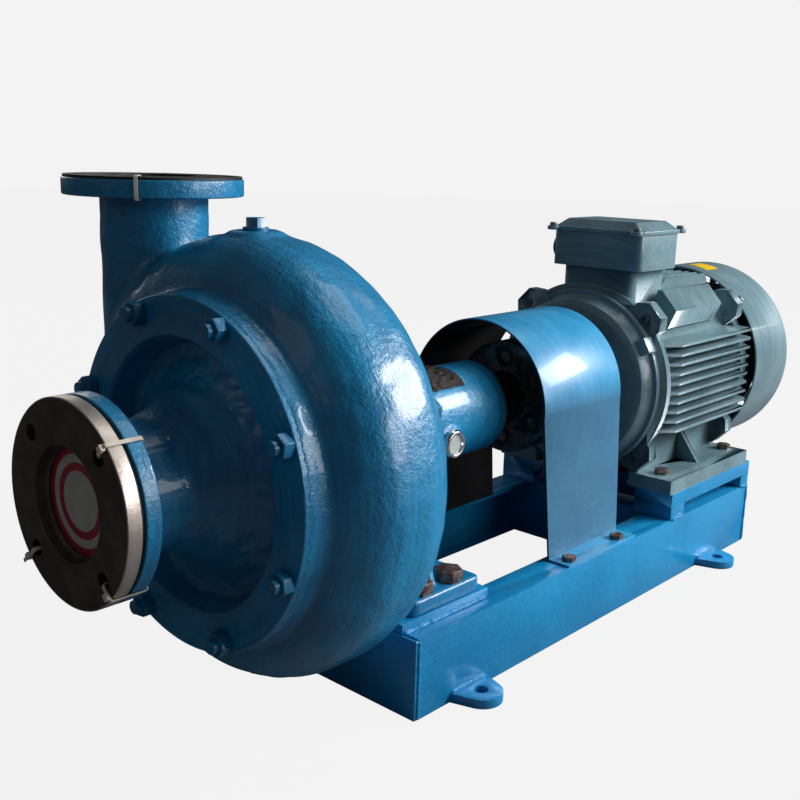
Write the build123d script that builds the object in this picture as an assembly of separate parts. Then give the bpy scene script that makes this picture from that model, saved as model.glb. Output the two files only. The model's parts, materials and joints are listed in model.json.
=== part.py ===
from build123d import *
import os
from math import cos, radians, sin

# A slurry pump set: an end-suction volute pump, its bearing bracket, a pin coupling under a
# sheet guard and a foot-mounted motor, all on one welded channel base.
#
# Everything is drawn in shaft coordinates, in millimetres: x is the station along the shaft,
# counted from the face of the companion flange towards the motor, y is across and z is the
# height over the shaft's axis. The last lines move each piece to the part's own frame, whose
# origin is on the floor in the middle of the four anchor holes.

# Heights that set the shaft over the floor
channel_height = 100.0
motor_rail_height = 42.0
motor_centre_height = 160.0
shaft_height = channel_height + motor_rail_height + motor_centre_height
base_top = channel_height - shaft_height
motor_sole = -motor_centre_height

# Anchor holes of the base
anchor_stations = (432.0, 1050.0)
anchor_offset = 180.0
anchor_hole_radius = 9.0
anchor_plate = 12.0
anchor_ear_radius = 27.0
anchor_root_half = 35.0
origin_station = sum(anchor_stations) / 2

# Welded base of two channels
base_front = 333.0
base_rear = 1189.0
base_half_width = 160.0
channel_web = 6.0
channel_flange = 8.0
channel_depth = 48.0
channel_lip = 17.0
end_plate = 6.0
cross_channel_front = 935.0
cross_channel_width = 48.0

# Flanges of nominal bore 100
flange_radius = 105.0
flange_bolt_circle = 170.0
flange_hole_radius = 9.0
flange_bolts = 4
flange_thickness = 17.0
flange_bore = 50.0
companion_thickness = 15.5
companion_bore = 58.0
gasket_thickness = 4.5
suction_flange_front = companion_thickness + gasket_thickness
suction_flange_back = suction_flange_front + flange_thickness

# Suction cover
cover_front = 134.0
cover_ring = 22.0
cover_back = cover_front + cover_ring
cover_radius = 192.6
dish_radius = 147.7
dish_floor = 170.0
cover_spigot_radius = 159.5
cover_inner_face = 198.0
cover_bolt_radius = 178.0
cover_bolts = 8
cover_gasket_thickness = 2.0
nozzle_radius = 66.0
wear_ring_radius = 76.0
wear_ring_depth = 14.0

# Volute casing
volute_station = 242.0
volute_centre_radius = 185.0
volute_half_width = 78.0
volute_half_height = 63.0
volute_wall = 12.0
front_boss_face = cover_back + cover_gasket_thickness
front_opening = 160.0
rear_boss_face = 324.0
rear_boss_radius = 178.0
rear_opening = 150.0
volute_shift = 7.0
neck_offset = volute_centre_radius + volute_shift
neck_radius = 63.0
neck_fillet = 14.0
discharge_face = 300.0
discharge_thickness = 20.0
discharge_gasket_thickness = 3.0
vent_boss_radius = 30.0
vent_boss_height = 251.5
drain_boss_height = 252.0

# Impeller
impeller_radius = 148.0
impeller_eye = 56.0
shroud_front = 204.0
shroud_thickness = 11.0
passage_width = 50.0
back_shroud_front = shroud_front + shroud_thickness + passage_width
back_shroud_back = back_shroud_front + 12.0
pump_out_vane = 5.0
vane_count = 5
vane_thickness = 11.0

# Back cover and stuffing box
back_cover_front = 290.0
back_rim = 10.0
back_rim_back = rear_boss_face + back_rim
box_flange_front = 360.0
box_flange_radius = 76.0
box_end = 372.0
box_radius = 58.0
packing_radius = 44.0
packing_start = 300.0
packing_pitch = 13.0
sleeve_radius = 31.0
running_gap = 0.3
bracket_bolt_radius = 164.0

# Gland
gland_start = 365.0
gland_flange_front = 376.0
gland_flange_back = 388.0
gland_stud_radius = 64.0
gland_nut = 8.0

# Bearing bracket
bracket_flange_back = 352.0
lantern_end = 404.0
barrel_start = 414.0
barrel_end = 606.0
barrel_radius = 62.5
bearing_seat = 55.0
bearing_width = 27.0
front_bearing = 422.0
rear_bearing = 571.0
oil_bore = 48.0
hatch_start = 452.0
hatch_end = 550.0
hatch_half_width = 40.0
pump_foot_start = 355.0
pump_foot_end = 481.0
pump_foot_half_width = 135.0
pump_foot_bottom = -190.0
pump_foot_thickness = 20.0
pump_bolt_stations = (385.0, 440.0)
pump_bolt_offset = 115.0
sight_station = 500.0
sight_height = -20.0

# Pump shaft and coupling
pump_seat_radius = 19.0
pump_neck_radius = 24.0
pump_bearing_radius = 25.0
pump_drive_radius = 21.0
pump_shaft_end = 716.0
coupling_radius = 80.0
coupling_hub_radius = 38.0
pump_half_start = 642.0
pump_half_flange = 690.0
pump_half_end = 718.0
motor_half_start = 723.0
motor_half_flange = 751.0
motor_half_end = 800.0
pin_count = 6
pin_circle_radius = 58.0

# Coupling guard
guard_radius = 116.5
guard_offset = -8.5
guard_centre_height = 4.0
guard_sheet = 3.0
guard_foot_width = 31.0
guard_rear_low = 818.0
guard_rear_middle = 801.0
guard_rear_top = 805.0
guard_bolt_stations = (663.0, 785.0)
guard_bolt_offsets = (-145.0, 125.0)

# Motor
motor_shaft_end = 722.0
motor_shaft_radius = 21.0
shield_front = 838.0
frame_front = 893.0
frame_rear = 1166.0
frame_radius = 130.0
frame_bore = 118.0
shield_rim_radius = 140.0
frame_flange_radius = 149.0
fin_tip = 152.0
fin_pitch = 14.6
fin_thickness = 4.5
side_fin_top = 68.0
side_fin_count = 10
top_fin_half_count = 4
ear_radius = 149.0
motor_foot_front = 910.0
motor_foot_rear = 1170.0
motor_foot_thickness = 22.0
motor_bar = 22.0
motor_bolt_stations = (940.0, 1150.0)
motor_bolt_offset = 127.0
cowl_front = 1180.0
cowl_rear = 1318.0
cowl_radius = 157.0
cowl_sheet = 2.5
cowl_screw_station = 1192.0
cowl_screw_radius = 3.0
fan_front = 1222.0

# Rolling bearings
pump_track_radius = 40.0
pump_ball_radius = 9.0
pump_bearing_starts = (front_bearing, rear_bearing)
motor_track_radius = 36.0
motor_ball_radius = 8.5
motor_bearing_seat = 50.0
motor_bearing_bore = 22.5
motor_bearing_width = 25.0
motor_bearing_starts = (850.0, 1180.0)
ball_count = 7

# Terminal box
box_front = 889.0
box_rear = 1003.0
box_near = -90.0
box_far = 65.0
box_bottom = 173.0
box_top = 226.0
lid_top = 244.0
box_wall = 6.0
box_corner = 10.0
box_centre = (box_near + box_far) / 2
box_half_width = (box_far - box_near) / 2
entry_station = box_front + 45.0
entry_height = 197.0
neck_near = -74.0
neck_far = 52.0

ON_BASE = (Align.CENTER, Align.CENTER, Align.MIN)


def ring(start, end, radius, bore=0.0):
    """A disc about the shaft between two stations, with a bore if one is given."""
    body = Pos(start, 0, 0) * Rot(0, 90, 0) * Cylinder(radius, end - start, align=ON_BASE)
    if bore > 0:
        body -= Pos(start, 0, 0) * Rot(0, 90, 0) * Cylinder(bore, end - start, align=ON_BASE)
    return body


def turned(*edges):
    """A closed outline of station and radius, turned about the shaft."""
    return revolve(make_face(Plane.XZ * Curve(edges)), Axis.X)


def turned_corners(*corners):
    """A straight-sided outline of station and radius, turned about the shaft."""
    return revolve(make_face(Plane.XZ * Polyline(*corners, close=True)), Axis.X)


def block(x_range, y_range, z_range):
    """A rectangular block between two stations, two offsets and two heights."""
    low = (x_range[0], y_range[0], z_range[0])
    high = (x_range[1], y_range[1], z_range[1])
    sizes = [b - a for a, b in zip(low, high)]
    return Pos(*low) * Box(*sizes, align=(Align.MIN, Align.MIN, Align.MIN))


def upright(x, y, bottom, height, radius):
    """A round bar that stands on its lower end."""
    return Pos(x, y, bottom) * Cylinder(radius, height, align=ON_BASE)


def around_shaft(piece, count, radius, first=0.0):
    """Copies of a piece, drawn about its own axis at station 0, on a circle about the shaft."""
    turns = [first + step * 360.0 / count for step in range(count)]
    return [Rot(angle, 0, 0) * Pos(0, 0, radius) * piece for angle in turns]


def group(pieces):
    """Separate solids kept side by side in one node."""
    return Compound([solid for piece in pieces for solid in piece.solids()])


def hexagon(across_flats, height):
    return extrude(RegularPolygon(across_flats / 2, 6, major_radius=False), height)


def bolt(radius, length, across_flats, head):
    """A hexagon bolt along Z: its head stands on the plane Z = 0 and its shank hangs below."""
    shank = Pos(0, 0, -length) * Cylinder(radius, length, align=ON_BASE)
    crown = Cone(across_flats * 0.72, across_flats * 0.42, head * 2, align=ON_BASE)
    return shank + (hexagon(across_flats, head) & crown)


def nut(radius, across_flats, height):
    return hexagon(across_flats, height) - Cylinder(radius, height, align=ON_BASE)


def flange_holes(radius=flange_hole_radius, length=60.0):
    """Cutters along the shaft for the four bolts of a pipe flange, at 45 degrees."""
    cutter = Rot(0, 90, 0) * Cylinder(radius, length)
    return around_shaft(cutter, flange_bolts, flange_bolt_circle / 2, 45.0)


def at_station(station, pieces):
    return [Pos(station, 0, 0) * piece for piece in pieces]


# Pipe connections


def companion_flange():
    body = ring(0, companion_thickness, flange_radius, companion_bore)
    body = chamfer(body.edges().filter_by(GeomType.CIRCLE), 1.0)
    weld = turned_corners((10, 58.5), (10, 56.0), (13, 54.0), (15.5, 54.0), (15.5, 58.5))
    return body + weld - flange_holes()


def suction_gasket():
    return ring(companion_thickness, suction_flange_front, 102.0, 62.0) - flange_holes()


def gaskets():
    """The three soft joints of the casing: suction flange, discharge flange and suction cover."""
    return group([suction_gasket(), discharge_gasket(), cover_gasket()])


def suction_blank():
    return ring(companion_thickness, suction_flange_front, 61.5)


def discharge_flange_placed(body):
    """Move a piece drawn along the shaft onto the axis of the discharge neck, facing up."""
    return Pos(volute_station, neck_offset, 0) * Rot(0, -90, 0) * body


def discharge_gasket():
    top = discharge_face + discharge_gasket_thickness
    body = ring(discharge_face, top, 103.0, 52.0)
    return discharge_flange_placed(body - at_station(discharge_face, flange_holes()))


# Suction side of the pump


def suction_cover():
    flange = Polyline(
        (suction_flange_front, flange_bore),
        (suction_flange_front, flange_radius - 1.5),
        (suction_flange_front + 1.5, flange_radius),
        (suction_flange_back, flange_radius),
        (suction_flange_back, nozzle_radius + 8),
    )
    throat = RadiusArc((suction_flange_back, nozzle_radius + 8), (45, nozzle_radius), 8)
    nozzle = Spline(
        (45, nozzle_radius), (90, 70), (128, 82), (154, 100), (dish_floor, 126),
        tangents=[(1, 0), (0.25, 1)],
    )
    dish = Polyline((dish_floor, 126), (164, 138), (cover_front + 4, dish_radius - 1))
    rim = Polyline(
        (cover_front + 4, dish_radius - 1),
        (cover_front, dish_radius + 2),
        (cover_front, cover_radius - 2),
        (cover_front + 2, cover_radius),
        (cover_back, cover_radius),
        (cover_back, cover_spigot_radius),
        (cover_inner_face - 4, cover_spigot_radius),
        (cover_inner_face, cover_spigot_radius - 4),
        (cover_inner_face, wear_ring_radius),
        (cover_inner_face - wear_ring_depth, wear_ring_radius),
        (cover_inner_face - wear_ring_depth, impeller_eye),
        (suction_flange_front, flange_bore),
    )
    body = turned(flange, throat, nozzle, dish, rim)
    bolt_hole = Rot(0, 90, 0) * Cylinder(8.5, cover_ring, align=ON_BASE)
    bolt_holes = at_station(cover_front, around_shaft(bolt_hole, cover_bolts, cover_bolt_radius, 22.5))
    return body - flange_holes() - bolt_holes


def cover_gasket():
    body = ring(cover_back, front_boss_face, cover_radius - 2.5, front_opening)
    bolt_hole = Rot(0, 90, 0) * Cylinder(8.5, 6, align=ON_BASE)
    return body - at_station(cover_back - 2, around_shaft(bolt_hole, cover_bolts, cover_bolt_radius, 22.5))


def cover_studs():
    """The stud ends stand proud of their nuts and bottom in the boss of the casing."""
    stud = Rot(0, 90, 0) * Cylinder(8.0, 60.0, align=ON_BASE)
    return group(at_station(cover_front - 20, around_shaft(stud, cover_bolts, cover_bolt_radius, 22.5)))


def cover_nuts():
    piece = Rot(0, 90, 0) * nut(8.0, 24.0, 13.0)
    return group(at_station(cover_front - 13, around_shaft(piece, cover_bolts, cover_bolt_radius, 22.5)))


def wear_ring():
    start = cover_inner_face - wear_ring_depth
    return ring(start, cover_inner_face, wear_ring_radius, impeller_eye + 9.6)


# Volute casing


def volute_torus(shrink=0.0):
    """The annular casing body, a little off the shaft's axis, or its hollow with the wall taken off."""
    section = SlotOverall(2 * (volute_half_width - shrink), 2 * (volute_half_height - shrink))
    body = revolve(Plane.XZ * Pos(volute_station, volute_centre_radius) * section, Axis.X)
    return Pos(0, volute_shift, 0) * body


def volute_outside():
    """The annular body with its two bolting bosses and the neck, blended where the neck grows out."""
    body = volute_torus()
    body += ring(front_boss_face, volute_station, cover_radius)
    body += ring(volute_station, rear_boss_face, rear_boss_radius)
    neck_foot = 30.0
    body += upright(volute_station, neck_offset, neck_foot, discharge_face - 10 - neck_foot, neck_radius)
    seam = [
        edge for edge in body.edges().filter_by(GeomType.BSPLINE)
        if neck_foot < edge.center().Z < discharge_face - 60
    ]
    return fillet(seam, neck_fillet)


def volute_hollow():
    body = volute_torus(volute_wall)
    body += ring(front_boss_face - 5, volute_station, front_opening)
    body += ring(volute_station, rear_boss_face + 5, rear_opening)
    return body + upright(volute_station, neck_offset, 0, discharge_face + 5, flange_bore)


def volute_casing():
    """An annular shell with a tangential neck that carries the discharge flange upwards."""
    flange = ring(discharge_face - discharge_thickness, discharge_face, flange_radius)
    flange = chamfer(flange.edges().filter_by(GeomType.CIRCLE), 1.5)
    flange -= at_station(discharge_face - 10, flange_holes())
    body = volute_outside() + discharge_flange_placed(flange)
    body += upright(volute_station, volute_shift, 225, vent_boss_height - 225, vent_boss_radius)
    body += upright(volute_station, volute_shift, -drain_boss_height, 30, 24)
    body -= volute_hollow()
    front_hole = Rot(0, 90, 0) * Cylinder(8.0, 16.0, align=ON_BASE)
    rear_hole = Rot(0, 90, 0) * Cylinder(7.0, 20.0, align=ON_BASE)
    body -= at_station(front_boss_face, around_shaft(front_hole, cover_bolts, cover_bolt_radius, 22.5))
    body -= at_station(rear_boss_face - 20, around_shaft(rear_hole, 8, bracket_bolt_radius, 22.5))
    body -= upright(volute_station, volute_shift, vent_boss_height - 12, 12, 8)
    body -= upright(volute_station, volute_shift, -drain_boss_height, 12, 8)
    return body


def pipe_plug(collar):
    """A hexagon plug with its thread below: the collar closes on the boss at Z = 0."""
    body = Pos(0, 0, -12) * Cylinder(8, 12, align=ON_BASE) + Cylinder(collar, 3, align=ON_BASE)
    return body + Pos(0, 0, 3) * hexagon(19, 10)


def casing_plugs():
    """A vent plug on top of the casing and a drain plug under it."""
    vent = Pos(volute_station, volute_shift, vent_boss_height) * pipe_plug(14)
    drain = Pos(volute_station, volute_shift, -drain_boss_height) * Rot(180, 0, 0) * pipe_plug(14)
    return group([vent, drain])


# Impeller and pump shaft


def impeller_vane(height):
    """One backward-swept vane, drawn flat as an arc of even thickness and raised to its height."""
    root = (42, 0)
    middle = (98 * cos(radians(38)), 98 * sin(radians(38)))
    tip = ((impeller_radius - 2) * cos(radians(92)), (impeller_radius - 2) * sin(radians(92)))
    path = ThreePointArc(root, middle, tip)
    return extrude(trace(path, vane_thickness), height)


def impeller():
    """A closed impeller: two shrouds, swept vanes between them and short vanes on its back."""
    front = turned_corners(
        (186, impeller_eye), (186, impeller_eye + 8), (shroud_front - 4, impeller_eye + 9),
        (shroud_front, impeller_eye + 22), (shroud_front, impeller_radius),
        (shroud_front + shroud_thickness, impeller_radius),
        (shroud_front + shroud_thickness, impeller_eye + 20), (200, impeller_eye),
    )
    back = turned_corners(
        (232, pump_seat_radius), (232, 28), (252, 34), (back_shroud_front, 62),
        (back_shroud_front, impeller_radius), (back_shroud_back, impeller_radius),
        (back_shroud_back, 36), (286, 36), (286, pump_seat_radius),
    )
    vane = Rot(0, 90, 0) * impeller_vane(back_shroud_front - shroud_front - 4)
    vanes = [Pos(shroud_front + 4, 0, 0) * Rot(72 * step, 0, 0) * vane for step in range(vane_count)]
    blade = block((back_shroud_back, back_shroud_back + pump_out_vane), (-4, 4), (60, impeller_radius - 4))
    blades = [Rot(60 * step, 0, 0) * blade for step in range(6)]
    return front + back + vanes + blades


def impeller_nut():
    """A domed nut that also leads the slurry into the eye."""
    bore = turned_corners((214, 0), (214, 14), (232, 14), (232, 0))
    side = Line((224, 27), (232, 27))
    dome = Spline((196, 0), (204, 17), (224, 27), tangents=[(0, 1), (1, 0.1)])
    base = Polyline((232, 27), (232, 0), (196, 0))
    return turned(dome, side, base) - bore


def pump_shaft():
    """A stepped shaft: nut thread, impeller seat, sleeve length, two bearing seats and drive end."""
    return turned_corners(
        (214, 0), (214, 14), (232, 14), (232, pump_seat_radius), (286, pump_seat_radius),
        (286, pump_neck_radius), (418, pump_neck_radius), (418, pump_bearing_radius),
        (front_bearing + bearing_width, pump_bearing_radius),
        (front_bearing + bearing_width, 30), (rear_bearing, 30), (rear_bearing, pump_bearing_radius),
        (622, pump_bearing_radius), (622, pump_drive_radius), (pump_shaft_end, pump_drive_radius),
        (pump_shaft_end, 0),
    ) - keyway(pump_drive_radius, 650, 710)


def keyway(radius, start, end):
    """The space that a parallel key 12 wide takes, half in its shaft and half in its hub."""
    return block((start, end), (-6, 6), (radius - 5, radius + 3.3))


def pump_coupling_key():
    return keyway(pump_drive_radius, 650, 710)


def motor_coupling_key():
    return keyway(motor_shaft_radius, 728, 796)


def shaft_sleeve():
    return ring(286, 396, sleeve_radius, pump_neck_radius)


def flinger():
    """The disc that throws leaked water off before it can reach the front bearing."""
    return turned_corners(
        (399, pump_neck_radius), (399, 42), (401, 42), (403, 34), (405, 34), (405, pump_neck_radius)
    )


# Back cover, packing and gland


def back_cover():
    """The plate that closes the back of the casing, and the stuffing box that is let into it."""
    plate = turned_corners(
        (back_cover_front, box_radius), (back_cover_front, rear_opening - 0.3),
        (rear_boss_face, rear_opening - 0.3), (rear_boss_face, rear_boss_radius),
        (back_rim_back, rear_boss_radius), (back_rim_back, 84), (back_rim_back + 6, box_radius + 4),
        (back_rim_back + 6, box_radius),
    )
    bolt_hole = Rot(0, 90, 0) * Cylinder(7.5, back_rim, align=ON_BASE)
    plate -= at_station(rear_boss_face, around_shaft(bolt_hole, 8, bracket_bolt_radius, 22.5))
    return group([plate, stuffing_box()])


def stuffing_box():
    """The sleeve-shaped casting that holds the packing, with a flange for the gland's studs."""
    body = turned_corners(
        (back_cover_front, sleeve_radius + 0.6), (back_cover_front, box_radius),
        (box_flange_front, box_radius), (box_flange_front, box_flange_radius),
        (box_end, box_flange_radius), (box_end, packing_radius),
        (packing_start, packing_radius), (packing_start, sleeve_radius + 0.6),
    )
    stud_hole = Rot(0, 90, 0) * Cylinder(6.0, box_end - box_flange_front, align=ON_BASE)
    studs = around_shaft(stud_hole, 2, gland_stud_radius, 90)
    return body - at_station(box_flange_front, studs)


def packing_rings():
    starts = [packing_start + packing_pitch * row for row in (0, 1, 3, 4)]
    return group([
        ring(start, start + packing_pitch, packing_radius, sleeve_radius + running_gap)
        for start in starts
    ])


def lantern_ring():
    """An open-sided ring that lets flush water in between the rows of packing."""
    start = packing_start + 2 * packing_pitch
    body = ring(start, start + packing_pitch, packing_radius, sleeve_radius + running_gap)
    groove = ring(start + 4, start + packing_pitch - 4, packing_radius + 1, packing_radius - 4)
    port = Pos(start + packing_pitch / 2, 0, 0) * Cylinder(2.0, 2 * packing_radius)
    return body - groove - port


def gland_follower():
    """The nose presses the packing; the oval flange takes the two studs."""
    nose = ring(gland_start, gland_flange_front, packing_radius - running_gap, sleeve_radius + 0.8)
    oval = Plane.YZ * (SlotCenterToCenter(2 * gland_stud_radius, 28) + Circle(54))
    flange = extrude(oval, gland_flange_back - gland_flange_front)
    flange = Pos(gland_flange_front, 0, 0) * flange - ring(0, 500, sleeve_radius + 0.8)
    stud_hole = Rot(0, 90, 0) * Cylinder(6.6, 20, align=ON_BASE)
    return nose + flange - at_station(370, around_shaft(stud_hole, 2, gland_stud_radius, 90))


def gland_studs():
    stud = Rot(0, 90, 0) * Cylinder(6.0, 46.0, align=ON_BASE)
    return group(at_station(360, around_shaft(stud, 2, gland_stud_radius, 90)))


def gland_nuts():
    piece = Rot(0, 90, 0) * nut(6.05, 18.0, gland_nut)
    return group(at_station(gland_flange_back, around_shaft(piece, 2, gland_stud_radius, 90)))


# Bearing bracket


def bearing_bracket():
    """Bolting flange, open lantern over the gland, round barrel for the bearings, and the foot."""
    body = turned_corners(
        (back_rim_back, 100), (back_rim_back, rear_boss_radius), (bracket_flange_back, rear_boss_radius),
        (bracket_flange_back, 142), (lantern_end, 96), (lantern_end + 12, 78),
        (lantern_end + 24, barrel_radius), (barrel_end, barrel_radius), (barrel_end, bearing_seat),
        (rear_bearing, bearing_seat), (rear_bearing, oil_bore),
        (front_bearing + bearing_width, oil_bore), (front_bearing + bearing_width, bearing_seat),
        (barrel_start, bearing_seat), (barrel_start, 64), (lantern_end + 4, 64), (lantern_end + 4, 80),
        (lantern_end - 4, 84),
        (bracket_flange_back, 128), (back_rim_back, 128),
    )
    pedestal = block((366, 466), (-46, 46), (pump_foot_bottom, -50))
    pedestal -= ring(350, 480, barrel_radius - 4)
    web = Pos(406, 0, 0) * extrude(Plane.YZ * Polygon(
        (-124, pump_foot_bottom + 4), (124, pump_foot_bottom + 4), (60, -20), (-60, -20), align=None
    ), 12)
    web -= ring(400, 430, barrel_radius - 4)
    foot = block(
        (pump_foot_start, pump_foot_end), (-pump_foot_half_width, pump_foot_half_width),
        (pump_foot_bottom, pump_foot_bottom + pump_foot_thickness),
    )
    foot = fillet(foot.edges().filter_by(Axis.Z), 11)
    lantern_hollow = turned_corners(
        (back_rim_back, 0), (back_rim_back, 128), (bracket_flange_back, 128), (lantern_end - 4, 84),
        (lantern_end + 4, 80), (lantern_end + 4, 64), (barrel_start, 64), (barrel_start, 0),
    )
    body += pedestal + web + foot
    body -= lantern_hollow
    body -= block((356, 396), (-160, 160), (-34, 70))
    body -= block((hatch_start, hatch_end), (-hatch_half_width, hatch_half_width), (30, 80))
    body -= Pos(sight_station, -barrel_radius, sight_height) * Rot(90, 0, 0) * Cylinder(9, 40)
    bolt_hole = Rot(0, 90, 0) * Cylinder(7.5, 30, align=ON_BASE)
    body -= at_station(back_rim_back - 5, around_shaft(bolt_hole, 8, bracket_bolt_radius, 22.5))
    for station in pump_bolt_stations:
        for side in (-1, 1):
            body -= upright(station, side * pump_bolt_offset, pump_foot_bottom - 5, 40, 11)
    return body + sight_boss()


def sight_boss():
    """A spot face for the oil sight glass on the near side of the barrel."""
    boss = Pos(sight_station, -48, sight_height) * Rot(90, 0, 0) * Cylinder(21, 17, align=ON_BASE)
    return boss - Pos(sight_station, -48, sight_height) * Rot(90, 0, 0) * Cylinder(9, 17, align=ON_BASE)


def bracket_bolts():
    """Hexagon bolts through the bracket's flange, and cap screws in the rear bearing cover."""
    piece = Rot(0, 90, 0) * bolt(7.0, 48.0, 22.0, 9.0)
    bolts = at_station(bracket_flange_back, around_shaft(piece, 8, bracket_bolt_radius, 22.5))
    screw = Rot(0, 90, 0) * (Cylinder(6.5, 6, align=ON_BASE) - Pos(0, 0, 3) * hexagon(5, 3))
    return group(bolts + at_station(616, around_shaft(screw, 6, 54.0, 30)))


def pump_foot_bolts():
    piece = bolt(10.0, pump_foot_thickness + 12 + channel_flange, 32.0, 14.0)
    seat = pump_foot_bottom + pump_foot_thickness
    return group([
        Pos(station, side * pump_bolt_offset, seat) * piece
        for station in pump_bolt_stations for side in (-1, 1)
    ])


def inspection_cover():
    """A rough cast plate, curved like the barrel, let into the hatch over the oil chamber."""
    shell = ring(hatch_start, hatch_end, barrel_radius - 3, oil_bore + 1)
    return shell & block((hatch_start, hatch_end), (-hatch_half_width, hatch_half_width), (30, 80))


def sight_glass_ring():
    frame = Pos(sight_station, -65, sight_height) * Rot(90, 0, 0)
    body = frame * Cylinder(19, 8, align=ON_BASE)
    return body - frame * Cylinder(12.5, 8, align=ON_BASE)


def sight_glass():
    frame = Pos(sight_station, -65, sight_height) * Rot(90, 0, 0)
    return frame * Cylinder(12.5, 5, align=ON_BASE)


def front_bearing_cover():
    return turned_corners(
        (408, 27), (408, 60), (barrel_start, 60), (barrel_start, bearing_seat),
        (front_bearing, bearing_seat), (front_bearing, 46), (412, 46), (412, 27),
    )


def rear_bearing_cover():
    end = rear_bearing + bearing_width
    return turned_corners(
        (end, 46), (end, bearing_seat), (barrel_end, bearing_seat), (barrel_end, barrel_radius),
        (616, barrel_radius), (616, 27), (610, 27), (610, 46),
    )


def oil_seals():
    front = ring(412, 419, 46, pump_bearing_radius + 0.2)
    rear = ring(601, 610, 46, pump_bearing_radius + 0.2)
    return group([front, rear])


# Rolling bearings: outer rings stay with the housing, inner rings turn with the shaft


def bearing_outer(start, width, outer, groove_radius, rolling):
    """An outer ring with its groove for the rolling elements."""
    body = ring(start, start + width, outer, groove_radius + rolling * 0.45)
    return body - ball_track(start + width / 2, groove_radius, rolling + 0.1)


def bearing_inner(start, width, bore, groove_radius, rolling):
    body = ring(start, start + width, groove_radius - rolling * 0.45, bore)
    return body - ball_track(start + width / 2, groove_radius, rolling + 0.1)


def ball_track(station, radius, section):
    return Pos(station, 0, 0) * Rot(0, 90, 0) * Torus(radius, section)


def bearing_cage(start, width, groove_radius, rolling, count):
    """Balls held by a flat cage ring, in one node because they go round together."""
    middle = start + width / 2
    balls = at_station(middle, around_shaft(Sphere(rolling), count, groove_radius))
    cage = ring(middle - 2, middle + 2, groove_radius + 2.5, groove_radius - 2.5)
    return cage + balls


def bearing_outers():
    """The outer rings of both pump bearings and both motor bearings."""
    pump = [
        bearing_outer(start, bearing_width, bearing_seat, pump_track_radius, pump_ball_radius)
        for start in pump_bearing_starts
    ]
    motor = [
        bearing_outer(start, motor_bearing_width, motor_bearing_seat, motor_track_radius, motor_ball_radius)
        for start in motor_bearing_starts
    ]
    return group(pump + motor)


def pump_bearing_inners():
    return group([
        bearing_inner(start, bearing_width, pump_bearing_radius, pump_track_radius, pump_ball_radius)
        for start in pump_bearing_starts
    ])


def pump_bearing_cages():
    return group([
        bearing_cage(start, bearing_width, pump_track_radius, pump_ball_radius, ball_count)
        for start in pump_bearing_starts
    ])


def motor_bearing_inners():
    return group([
        bearing_inner(start, motor_bearing_width, motor_bearing_bore, motor_track_radius, motor_ball_radius)
        for start in motor_bearing_starts
    ])


def motor_bearing_cages():
    return group([
        bearing_cage(start, motor_bearing_width, motor_track_radius, motor_ball_radius, ball_count)
        for start in motor_bearing_starts
    ])


# Pin and bush coupling


def pump_coupling_hub():
    body = ring(pump_half_start, pump_half_flange, coupling_hub_radius, pump_drive_radius)
    body += ring(pump_half_flange, pump_half_end, coupling_radius, pump_drive_radius)
    bush_hole = Rot(0, 90, 0) * Cylinder(15.0, 40, align=ON_BASE)
    body -= at_station(pump_half_flange - 5, around_shaft(bush_hole, pin_count, pin_circle_radius))
    return body - keyway(pump_drive_radius, 650, 710)


def coupling_bushes():
    """Rubber bushes that line the pump half; the pins run in them with a little play."""
    bush = Cylinder(15.0, 28, align=ON_BASE) - Cylinder(8.4, 28, align=ON_BASE)
    return group(at_station(pump_half_flange, around_shaft(Rot(0, 90, 0) * bush, pin_count, pin_circle_radius)))


def motor_coupling_hub():
    body = ring(motor_half_start, motor_half_flange, coupling_radius, motor_shaft_radius)
    body += ring(motor_half_flange, motor_half_end, coupling_hub_radius, motor_shaft_radius)
    pin_hole = Rot(0, 90, 0) * Cylinder(8.0, 40, align=ON_BASE)
    body -= at_station(motor_half_start - 5, around_shaft(pin_hole, pin_count, pin_circle_radius))
    return body - keyway(motor_shaft_radius, 728, 796)


def coupling_pins():
    """Each pin is drawn up against the motor half with a nut behind the flange."""
    pin = Pos(692, 0, 0) * Rot(0, 90, 0) * Cylinder(8.0, 74, align=ON_BASE)
    pin += Pos(motor_half_flange, 0, 0) * Rot(0, 90, 0) * hexagon(24, 12)
    return group(around_shaft(pin, pin_count, pin_circle_radius))


def coupling_guard():
    """One bent sheet: a round arch over the coupling, straight walls and out-turned feet."""
    foot = base_top + guard_sheet
    inner = guard_radius - guard_sheet
    wall_height = guard_centre_height - base_top
    wall_middle = (guard_centre_height + base_top) / 2
    outside = Pos(0, guard_centre_height) * Circle(guard_radius)
    outside += Pos(0, wall_middle) * Rectangle(2 * guard_radius, wall_height)
    inside = Pos(0, guard_centre_height) * Circle(inner)
    inside += Pos(0, wall_middle) * Rectangle(2 * inner, wall_height)
    feet = [
        Pos(side * (guard_radius + guard_foot_width / 2), base_top + guard_sheet / 2)
        * Rectangle(guard_foot_width + guard_sheet, guard_sheet)
        for side in (-1, 1)
    ]
    section = Plane.YZ * (outside - inside + feet)
    body = Pos(600, guard_offset, 0) * extrude(section, 240)
    over_top = guard_centre_height + guard_radius + 1
    side_view = Plane.XZ * Polygon(
        (645, base_top), (guard_rear_low, base_top), (guard_rear_middle, 0), (guard_rear_top, over_top),
        (620, over_top), (615, 0), align=None,
    )
    body &= extrude(side_view, 200, both=True)
    for station in guard_bolt_stations:
        for offset in guard_bolt_offsets:
            body -= upright(station, offset, foot - 10, 20, 5.5)
    return body


# Motor


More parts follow.
